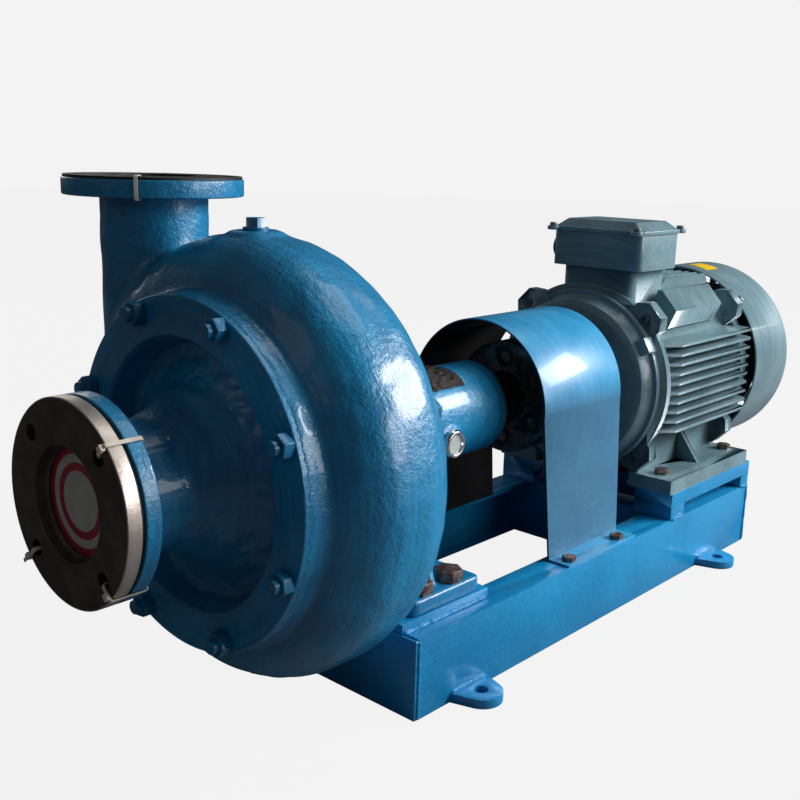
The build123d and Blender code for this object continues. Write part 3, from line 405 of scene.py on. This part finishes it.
def rounded(*corners, steps=5):
    """An outline of (station, radius[, rounding]) corners, each rounding drawn as a tangent arc."""
    points = []
    for index, corner in enumerate(corners):
        here = Vector(corner[:2])
        rounding = corner[2] if len(corner) > 2 else 0
        if not rounding:
            points.append(here)
            continue
        back = (Vector(corners[index - 1][:2]) - here).normalized()
        ahead = (Vector(corners[(index + 1) % len(corners)][:2]) - here).normalized()
        half = back.angle(ahead) / 2
        reach = rounding / abs(sin(half)) * cos(half)
        centre = here + (back + ahead).normalized() * rounding / sin(half)
        start = here + back * reach - centre
        end = here + ahead * reach - centre
        sweep = atan2(start.x * end.y - start.y * end.x, start.dot(end))
        for step in range(steps + 1):
            points.append(centre + Matrix.Rotation(sweep * step / steps, 2) @ start)
    return points


def spun(outline, steps):
    """A closed outline of station and radius, turned once about the shaft."""
    shape = bmesh.new()
    verts = [shape.verts.new((point[0], 0, point[1])) for point in outline]
    edges = [shape.edges.new(pair) for pair in zip(verts, verts[1:] + verts[:1])]
    bmesh.ops.spin(
        shape, geom=verts + edges, cent=(0, 0, 0), axis=(1, 0, 0), angle=2 * pi, steps=steps,
        use_merge=True,
    )
    bmesh.ops.remove_doubles(shape, verts=shape.verts, dist=0.01)
    bmesh.ops.recalc_face_normals(shape, faces=shape.faces)
    return shape


def rod(radius, low, high, steps):
    """An upright closed cylinder between two heights."""
    shape = bmesh.new()
    bmesh.ops.create_cone(
        shape, cap_ends=True, segments=steps, radius1=radius, radius2=radius, depth=high - low,
        matrix=Matrix.Translation((0, 0, (low + high) / 2)),
    )
    return shape


def slab(*spans):
    """A block between two stations, two offsets and two heights."""
    middle = [(low + high) / 2 for low, high in spans]
    size = [abs(high - low) for low, high in spans]
    shape = bmesh.new()
    bmesh.ops.create_cube(
        shape, size=1, matrix=Matrix.Translation(middle) @ Matrix.Diagonal((*size, 1)),
    )
    return shape


def sheeted(shape, rows, closed=True):
    """Faces between rows of points. Where closed, the end of each row meets its start."""
    for row, following in zip(rows, rows[1:]):
        for index in range(len(row) if closed else len(row) - 1):
            after = (index + 1) % len(row)
            shape.faces.new((row[index], row[after], following[after], following[index]))


def moved(shape, matrix):
    bmesh.ops.transform(shape, matrix=matrix, verts=shape.verts)
    return shape


def joined(*shapes):
    """Several shapes as one, laid side by side."""
    whole = bmesh.new()
    for shape in shapes:
        part = bpy.data.meshes.new("part")
        shape.to_mesh(part)
        whole.from_mesh(part)
        bpy.data.meshes.remove(part)
    return whole


def softened(shape, width):
    """Rounds every edge that turns by more than the crease angle."""
    sharp = radians(crease_angle)
    edges = [e for e in shape.edges if e.is_manifold and e.calc_face_angle(0) > sharp]
    bmesh.ops.bevel(
        shape, geom=edges, offset=width, offset_type="OFFSET", segments=2, profile=0.5,
        affect="EDGES", clamp_overlap=True, material=-1,
    )
    return shape


def smoothed(shape, verts, passes):
    for _ in range(passes):
        bmesh.ops.smooth_vert(
            shape, verts=verts, factor=0.5, use_axis_x=True, use_axis_y=True, use_axis_z=True,
        )


def about_shaft(angle):
    return Matrix.Rotation(radians(angle), 4, "X")


def off_axis(point):
    return hypot(point.y, point.z)


def cast_skin(shape, where, depth, size):
    """Pushes points in and out a little, as on a rough casting."""
    shape.normal_update()
    for vert in shape.verts:
        share = where(vert.co)
        if share:
            vert.co += vert.normal * noise.noise(vert.co / size) * depth * share


def settled(thing):
    """Makes the modifiers of a thing part of its mesh."""
    view = bpy.context.evaluated_depsgraph_get()
    mesh = bpy.data.meshes.new_from_object(thing.evaluated_get(view))
    old = thing.data
    thing.modifiers.clear()
    thing.data = mesh
    bpy.data.meshes.remove(old)


def loose(shape, name):
    """An object in shaft millimetres that is still being worked on."""
    mesh = bpy.data.meshes.new(name)
    shape.to_mesh(mesh)
    shape.free()
    thing = bpy.data.objects.new(name, mesh)
    bpy.context.scene.collection.objects.link(thing)
    return thing


def reshaped(thing, change):
    """Hands the shape of a thing to a function that changes it."""
    shape = bmesh.new()
    shape.from_mesh(thing.data)
    change(shape)
    shape.to_mesh(thing.data)
    shape.free()
    return thing


def carved(thing, cutter):
    """Cuts a closed shape out of a thing."""
    tool = loose(cutter, "cutter")
    work = thing.modifiers.new("carve", "BOOLEAN")
    work.operation = "DIFFERENCE"
    work.solver = "EXACT"
    work.object = tool
    settled(thing)
    bpy.data.objects.remove(tool)


def recast(thing, voxel, smoothing):
    """Runs overlapping shapes together into one casting with soft corners."""
    work = thing.modifiers.new("recast", "REMESH")
    work.mode = "VOXEL"
    work.voxel_size = voxel
    settled(thing)
    return reshaped(thing, lambda shape: smoothed(shape, shape.verts, smoothing))


def place_piece(thing, material, body, stands_for=(), crease=crease_angle):
    """Brings a finished thing into the frame and hands it to the body that it moves with."""
    thing.data.transform(to_frame)
    thing.data.shade_smooth()
    thing.data.set_sharp_from_angle(angle=radians(crease))
    give(thing, material)
    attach(thing, body)
    if stands_for:
        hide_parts(*stands_for)


def dress(node, name, thing, crease=crease_angle):
    """Puts a thing in the place of one CAD node, with that node's finish and body."""
    thing.name = name
    slot = slot_of[node]
    place_piece(thing, materials[slot], body_of[node], (node,), crease)


def copied(node):
    """The node's own faces, closed up and in shaft millimetres."""
    shape = bmesh.new()
    shape.from_mesh(cad_nodes[node].data)
    bmesh.ops.remove_doubles(shape, verts=shape.verts, dist=1e-6)
    bmesh.ops.transform(shape, matrix=to_frame.inverted(), verts=shape.verts)
    bmesh.ops.dissolve_limit(
        shape, angle_limit=radians(0.6), verts=shape.verts, edges=shape.edges,
    )
    return shape


# Pipe connections

flange_radius = 105.0
bolt_circle_radius = 85.0
bolt_hole_radius = 9.0
bore_radius = 50.0
flange_front = station("suction_cover", 0)
flange_back = flange_front + 17.0


def flange_hole_cutters(low, high):
    """Four round cutters along the shaft, at 45 degrees to the upright."""
    bar = moved(rod(bolt_hole_radius, low, high, 40), Matrix.Rotation(pi / 2, 4, "Y"))
    outward = Matrix.Translation((0, 0, bolt_circle_radius))
    return joined(*[
        moved(bar.copy(), about_shaft(angle) @ outward) for angle in (45, 135, 225, 315)
    ])


def companion_flange():
    """The bare flange with its weld at the back of the bore and soft filed edges."""
    end = station("companion_flange", 1)
    outline = rounded(
        (0, 58, 1.2), (0, flange_radius, 0.9), (end, flange_radius, 0.9), (end, 54, 0.5),
        (end - 2.5, 54, 1.0), (end - 5.5, 56, 1.0), (end - 5.5, 58, 0.4),
    )
    thing = loose(spun(outline, 144), "flange_plate")
    carved(thing, flange_hole_cutters(-5, end + 5))
    dress("companion_flange", "flange_plate", thing)


companion_flange()


# Suction cover


def on_dish(point):
    """1 on the rough dish of the suction cover, inside its bolting ring."""
    return 1.0 if 100 < off_axis(point) < 146 and 100 < point.x < 172 else 0.0


def on_nozzle(point):
    """The smoother skin of the flaring nozzle, as a share of the dish's."""
    return 0.6 if 45 < point.x < 150 and off_axis(point) < 100 else 0.0


def suction_cover():
    """Flange, flaring nozzle and the rough dish inside a machined bolting ring."""
    outline = rounded(
        (flange_front, bore_radius), (flange_front, flange_radius, 1.5),
        (flange_back, flange_radius, 1.5), (flange_back, 74, 6), (50, 66, 10), (92, 70, 50),
        (128, 82, 60), (154, 100, 40), (169, 122, 12), (169.5, 136, 6), (164, 140, 8),
        (138, 146.5, 1), (134, 149, 1.5), (134, 191, 2), (156, 192.6, 1), (156, 159.5),
        (196, 159.5, 2), (198, 76), (184, 76), (184, 56), steps=6,
    )
    shape = spun(outline, 160)
    longest, least_step = 7, 1
    long_runs = [
        edge for edge in shape.edges
        if edge.calc_length() > longest
        and abs(edge.verts[0].co.x - edge.verts[1].co.x) > least_step
    ]
    bmesh.ops.subdivide_edges(shape, edges=long_runs, cuts=3, use_grid_fill=True)
    cast_skin(shape, on_dish, depth=2.2, size=9.0)
    cast_skin(shape, on_nozzle, depth=1.2, size=16.0)
    thing = loose(shape, "suction_casting")
    carved(thing, flange_hole_cutters(flange_front - 5, flange_back + 5))
    dress("suction_cover", "suction_casting", thing)


suction_cover()


# Volute casing

volute_station = 242.0
volute_radius = 185.0
barrel_round = 63.0
flat_half = 15.0
casing_wall = 12.0
front_ring_radius = 192.6
rear_ring_radius = 178.0
ring_bore_radius = 100.0
front_mouth_radius = 160.0
rear_mouth_radius = 150.0
neck_offset = mounts["discharge_flange"]["pos_m"][1] / millimetre
neck_radius = 63.0
neck_start = 30.0
ring_shift = neck_offset - volute_radius
ring_middle = Matrix.Translation((volute_station, ring_shift, 0))
neck_middle = Matrix.Translation((volute_station, neck_offset, 0))
up_the_neck = neck_middle @ Matrix.Rotation(-pi / 2, 4, "Y")


def stadium(shrink=0.0):
    """The section of the annular casing: two half circles joined by a short flat."""
    radius, steps = barrel_round - shrink, 24
    points = []
    for side in (1, -1):
        for step in range(steps + 1):
            angle = side * pi / 2 - pi * step / steps
            points.append((
                volute_station + side * flat_half + cos(angle) * radius,
                volute_radius + sin(angle) * radius,
            ))
    return points


def off_centre(shape):
    return moved(shape, Matrix.Translation((0, ring_shift, 0)))


def seam_share(point):
    """1 where the neck meets the ring of the casing, fading to 0 away from there."""
    reach, fade, lowest = 26, 10, 20
    from_neck = abs(hypot(point.x - volute_station, point.y - neck_offset) - neck_radius)
    ring_run = hypot(point.y - ring_shift, point.z)
    from_middle = max(abs(point.x - volute_station) - flat_half, 0)
    from_ring = abs(hypot(from_middle, ring_run - volute_radius) - barrel_round)
    near = max(from_neck, from_ring)
    return max(0.0, min(1.0, (reach - near) / fade)) if point.z > lowest else 0.0


def discharge_flange(top):
    """The flange of the neck, with its bolt holes."""
    thick, edge = 20, 2.0
    shape = spun(rounded(
        (top - thick, bore_radius), (top - thick, flange_radius, edge),
        (top, flange_radius, edge), (top, bore_radius),
    ), 144)
    thing = loose(shape, "flange")
    carved(thing, flange_hole_cutters(top - thick - 10, top + 10))
    thing.data.transform(up_the_neck)
    return thing


def volute_casing():
    """Ring, bosses and neck run together as one casting, then bored out."""
    front, rear = station("volute_casing", 0), station("volute_casing", 1)
    top = height("volute_casing", 1)
    past = 5
    front_ring = rounded(
        (front, ring_bore_radius), (front, front_ring_radius, 1.5),
        (volute_station, front_ring_radius), (volute_station, ring_bore_radius),
    )
    rear_ring = rounded(
        (volute_station, ring_bore_radius), (volute_station, rear_ring_radius),
        (rear, rear_ring_radius, 1.5), (rear, ring_bore_radius),
    )
    body = joined(
        off_centre(spun(stadium(), 144)),
        spun(front_ring, 144),
        spun(rear_ring, 144),
        moved(rod(neck_radius, neck_start, top - 8, 96), neck_middle),
        moved(rod(30, 225, 251.5, 64), ring_middle),
        moved(rod(24, -252, -222, 64), ring_middle),
    )

    def skin(shape):
        seam = [vert for vert in shape.verts if seam_share(vert.co) > 0.35]
        smoothed(shape, seam, 26)
        cast_skin(shape, lambda p: float(front + 6 < p.x < rear - 6), depth=0.9, size=22.0)

    thing = reshaped(recast(loose(body, "volute"), 3.6, 3), skin)
    flange = discharge_flange(top)
    carved(thing, off_centre(spun(stadium(casing_wall), 96)))
    carved(thing, spun([
        (front - past, front_mouth_radius), (volute_station, front_mouth_radius),
        (volute_station, 0), (front - past, 0),
    ], 96))
    carved(thing, spun([
        (volute_station - 1, 0), (volute_station - 1, rear_mouth_radius),
        (rear + past, rear_mouth_radius), (rear + past, 0),
    ], 96))
    carved(thing, moved(rod(bore_radius, 0, top + 10, 96), neck_middle))
    reshaped(thing, lambda shape: shape.from_mesh(flange.data))
    bpy.data.objects.remove(flange)
    dress("volute_casing", "volute", thing)


volute_casing()


# Castings and plates that keep their CAD shape and get soft edges

bracket = loose(copied("bearing_bracket"), "bracket_casting")
dress("bearing_bracket", "bracket_casting", recast(bracket, 2.6, 3), crease=40)

edge_copies = {
    "cover_nuts": ("cover_nut_set", 0.5),
    "casing_plugs": ("vent_and_drain", 0.5),
    "bracket_bolts": ("bracket_bolt_set", 0.5),
    "pump_foot_bolts": ("foot_bolt_set", 0.7),
    "gland_nuts": ("gland_nut_set", 0.4),
    "rear_bearing_cover": ("rear_bearing_cap", 0.8),
    "front_bearing_cover": ("front_bearing_cap", 0.8),
    "coupling_guard": ("guard_sheet", 0.5),
    "drive_end_shield": ("drive_shield", 1.2),
    "terminal_box": ("terminal_housing", 1.6),
    "terminal_lid": ("terminal_cover", 1.4),
    "cable_entry_plug": ("entry_plug", 1.0),
    "base_channels": ("base_rails", 2.4),
    "base_cross_members": ("base_cross_plates", 1.4),
    "anchor_lugs": ("base_ears", 1.6),
    "mounting_rails": ("packing_bars", 1.6),
    "motor_frame": ("motor_casting", 1.0),
    "base_bolts": ("base_bolt_set", 0.5),
    "rear_end_shield": ("fan_end_shield", 1.0),
    "motor_screws": ("motor_screw_set", 0.4),
    "fan_cowl": ("cowl_sheet", 0.5),
    "back_cover": ("back_plate", 0.8),
    "gland_follower": ("gland_casting", 0.8),
    "pump_coupling_hub": ("pump_half", 1.0),
    "motor_coupling_hub": ("motor_half", 1.0),
    "fan": ("fan_moulding", 0.6),
    "cover_studs": ("cover_stud_ends", 0.6),
}
for node, (name, width) in edge_copies.items():
    dress(node, name, loose(softened(copied(node), width), name))


# Small pieces that only the look needs


def strip_loop(front, back, inside, thick, wide):
    """A flat strip bent round the rim of a pipe flange, from a bolt hole and back to it."""
    outside, bend = flange_radius + 1.2, 2.5
    inner = rounded(
        (front, inside, bend), (front, outside, bend), (back, outside, bend),
        (back, inside, bend),
    )
    middle = sum(inner, Vector((0, 0))) / len(inner)
    outer = [point + (point - middle).normalized() * thick for point in inner]
    shape = bmesh.new()
    rows = [
        [shape.verts.new((point[0], side * wide / 2, point[1])) for point in line]
        for side, line in ((-1, inner), (1, inner), (1, outer), (-1, outer))
    ]
    sheeted(shape, rows + rows[:1])
    bmesh.ops.recalc_face_normals(shape, faces=shape.faces)
    return shape


def cable_tie(tail):
    """A nylon tie through a bolt hole and over the rim, its head at the front outer corner."""
    front, back = -1.6, flange_back + 0.8
    rim = flange_radius
    return joined(
        strip_loop(front, back, inside=88, thick=1.3, wide=4.2),
        softened(slab((front - 4.6, front + 0.4), (-3.4, 3.4), (rim - 8, rim - 1)), 0.8),
        softened(slab((front - 4.0, front - 2.7), (-2.0, 2.0), (rim - 3, rim - 3 + tail)), 0.4),
    )


def ties():
    tail_at = {45: 1, 135: 2, 225: 9}
    lower = [moved(cable_tie(tail), about_shaft(angle)) for angle, tail in tail_at.items()]
    place_piece(loose(joined(*lower), "flange_ties"), nylon, "stationary")
    top = height("volute_casing", 1)
    upper = strip_loop(top - 21.4, top + 4.2, inside=86, thick=1.2, wide=4.0)
    upper = moved(upper, up_the_neck @ about_shaft(45))
    place_piece(loose(upper, "upper_flange_tie"), nylon, "stationary")


def bead(start, end, radius):
    """A rippled run of weld between two points, thin at its ends."""
    sides, ripple_length, end_share = 8, 2.2, 0.45
    start, end = Vector(start), Vector(end)
    run = end - start
    count = max(4, int(run.length / ripple_length))
    turn = run.to_track_quat("X", "Z").to_matrix()
    shape = bmesh.new()
    rows = []
    for step in range(count + 1):
        middle = start + run * step / count
        swell = 1 + 0.2 * sin(step * 2.1) + 0.5 * noise.noise(middle / 9)
        girth = radius * swell * (end_share if step in (0, count) else 1)
        angles = [side * 2 * pi / sides for side in range(sides)]
        rows.append([
            shape.verts.new(middle + turn @ Vector((0, cos(angle) * girth, sin(angle) * girth)))
            for angle in angles
        ])
    sheeted(shape, rows)
    shape.faces.new(rows[0])
    shape.faces.new(rows[-1])
    bmesh.ops.recalc_face_normals(shape, faces=shape.faces)
    return shape


def welds():
    """The beads of the end plates, the pump's bars, the anchor ears and the motor's blocks."""
    ground, top = height("base_channels", 0), height("base_channels", 1)
    front, rear = station("base_cross_members", 0), station("base_cross_members", 1)
    base_half, lip_end = 160, 113
    bar_front, bar_rear, bar_inside, bar_outside = station("mounting_rails", 0), 493, 98, 137
    ear_middles, ear_half, ear_level = (432, 1050), 33, ground + 12.5
    block_spans = (920, 958), (1160, 1183)
    runs = []
    for side in (-1, 1):
        edge, bar = side * base_half, side * bar_outside
        for end in (front + 6, rear - 6):
            runs.append(((end, edge, ground + 1), (end, edge, top - 1), 2.2))
            runs.append(((end, edge, top), (end, side * lip_end, top), 2.2))
        runs.append(((bar_front + 2, bar, top + 1), (bar_rear - 2, bar, top + 1), 3.0))
        runs.append((
            (bar_rear, side * bar_inside, top + 1), (bar_rear, bar - side, top + 1), 3.0,
        ))
        for middle in ear_middles:
            runs.append((
                (middle - ear_half, edge, ear_level), (middle + ear_half, edge, ear_level), 3.0,
            ))
        for low, high in block_spans:
            runs.append(((low, edge, top + 0.5), (high, edge, top + 0.5), 2.6))
    beads = loose(joined(*[bead(*run) for run in runs]), "weld_beads")
    place_piece(beads, materials["base_paint"], "stationary")


def cowl_patch():
    """A plain yellow film on top of the fan cowl, bent to its round."""
    radius, steps = 157.35, 8
    corners = (1219, 3), (1257, -2), (1247, -41.5), (1204, -41)
    front_top, rear_top, rear_low, front_low = (Vector(corner) for corner in corners)
    shape = bmesh.new()
    rows = []
    for step in range(steps + 1):
        share = step / steps
        ends = front_top.lerp(front_low, share), rear_top.lerp(rear_low, share)
        rows.append([
            shape.verts.new((point.x, point.y, (radius ** 2 - point.y ** 2) ** 0.5))
            for point in ends
        ])
    sheeted(shape, rows, closed=False)
    bmesh.ops.recalc_face_normals(shape, faces=shape.faces)
    place_piece(loose(shape, "cowl_film"), yellow_film, "stationary")


def hatch_plate():
    """The rough plate over the oil chamber, lumpy and a little proud of the barrel."""
    barrel_radius, proud = 56, 3.2

    def lumpy(shape):
        for vert in shape.verts:
            run = off_axis(vert.co)
            if run > barrel_radius:
                vert.co.yz = vert.co.yz * (run + proud) / run
        cast_skin(shape, lambda p: float(off_axis(p) > barrel_radius + 1), depth=3.4, size=8.0)

    thing = recast(loose(copied("inspection_cover"), "hatch_plate"), 2.2, 2)
    dress("inspection_cover", "hatch_plate", reshaped(thing, lumpy), crease=60)


def sight_ring():
    """A turned ring with a rounded lip, on the near side of the barrel."""
    ring_station, ring_height = 500, -20
    outline = rounded(
        (65, 19, 0.8), (70, 19, 1.5), (73, 16.5, 1.2), (73, 13.5, 1.2), (69, 12.5, 0.5),
        (65, 12.5),
    )
    out_of_barrel = Matrix.Rotation(-pi / 2, 4, "Z")
    place = Matrix.Translation((ring_station, 0, ring_height)) @ out_of_barrel
    dress("sight_glass_ring", "sight_bezel", loose(moved(spun(outline, 64), place), "sight_bezel"))


ties()
welds()
cowl_patch()
hatch_plate()
sight_ring()


# Camera, light and floor

backdrop_grey = (*linear("F3F3F3"), 1)


def camera():
    """The photograph's viewpoint: place in shaft millimetres, turn, tilt and roll in radians."""
    eye = to_frame @ Vector((-494.6, -876.0, 337.2))
    turn, tilt, roll = 0.7365, 0.2318, -0.0265
    focal_pixels, frame_pixels, sensor = 1052.5, 800.0, 36.0
    ahead = Vector((cos(turn) * cos(tilt), sin(turn) * cos(tilt), -sin(tilt)))
    level = Vector((sin(turn), -cos(turn), 0))
    down = ahead.cross(level)
    right = cos(roll) * level + sin(roll) * down
    below = cos(roll) * down - sin(roll) * level
    lens = bpy.data.cameras.new("view")
    lens.sensor_fit = "HORIZONTAL"
    lens.sensor_width = sensor
    lens.lens = focal_pixels / frame_pixels * sensor
    thing = bpy.data.objects.new("view", lens)
    facing = Matrix((right, -below, -ahead)).transposed().to_4x4()
    thing.matrix_world = Matrix.Translation(eye) @ facing
    bpy.context.scene.collection.objects.link(thing)
    bpy.context.scene.camera = thing


def softbox(name, place, size, watts, aim=(0, 0, 0.3)):
    """A soft rectangular lamp, in metres of the frame."""
    lamp = bpy.data.lights.new(name, "AREA")
    lamp.shape = "RECTANGLE"
    lamp.size, lamp.size_y = size
    lamp.energy = watts
    thing = bpy.data.objects.new(name, lamp)
    direction = Vector(aim) - Vector(place)
    facing = direction.to_track_quat("-Z", "Y").to_matrix().to_4x4()
    thing.matrix_world = Matrix.Translation(place) @ facing
    bpy.context.scene.collection.objects.link(thing)


def studio():
    """Five lamps and a faint sky, with a pale backdrop that only the camera sees."""
    softbox("window", (2.7, -2.3, 2.0), size=(2.0, 1.3), watts=200, aim=(0.1, 0, 0.3))
    softbox("side", (1.1, -3.2, 1.1), size=(1.6, 1.2), watts=34)
    softbox("over", (0.9, -0.4, 3.0), size=(1.4, 1.4), watts=16, aim=(0.1, 0, 0.3))
    softbox("front_fill", (-3.0, 0.4, 1.6), size=(1.2, 1.2), watts=2)
    softbox("far_fill", (0.4, 3.4, 1.5), size=(1.8, 1.4), watts=14)
    world = bpy.data.worlds.new("studio")
    bpy.context.scene.world = world
    sky = Nodes(world)
    direct = sky.node("LightPath", output="Is Camera Ray")
    through_glass = sky.node("LightPath", output="Is Transmission Ray")
    ambient = sky.node("Background", None, {"Color": (0.86, 0.92, 1.0, 1), "Strength": 0.075})
    backdrop = sky.node("Background", None, {"Color": backdrop_grey})
    seen = direct.at_least(through_glass)
    blend = sky.node("MixShader", None, {0: seen, 1: ambient, 2: backdrop})
    sky.node("OutputWorld", None, {"Surface": blend})


def floor():
    """A pale floor that keeps the shadow and otherwise fades into the backdrop."""
    backdrop_share = 0.98
    shape = bmesh.new()
    bmesh.ops.create_circle(shape, cap_ends=True, segments=96, radius=14.0)
    thing = loose(shape, "studio_floor")
    pale = Finish("studio_floor")
    glow = pale.node("Emission", None, {"Color": backdrop_grey})
    seen = pale.node("LightPath", output="Is Camera Ray")
    for_bounces = pale.node("BsdfDiffuse", None, {"Color": (0.18, 0.18, 0.19, 1)})
    for_camera = pale.node("BsdfDiffuse", None, {"Color": (0.9, 0.9, 0.9, 1)})
    lit = pale.node("MixShader", None, {0: seen, 1: for_bounces, 2: for_camera})
    blend = pale.node("MixShader", None, {0: seen * backdrop_share, 1: lit, 2: glow})
    pale.node("OutputMaterial", None, {"Surface": blend})
    give(thing, pale.material)


camera()
studio()
floor()
bpy.context.scene.view_settings.view_transform = "Standard"
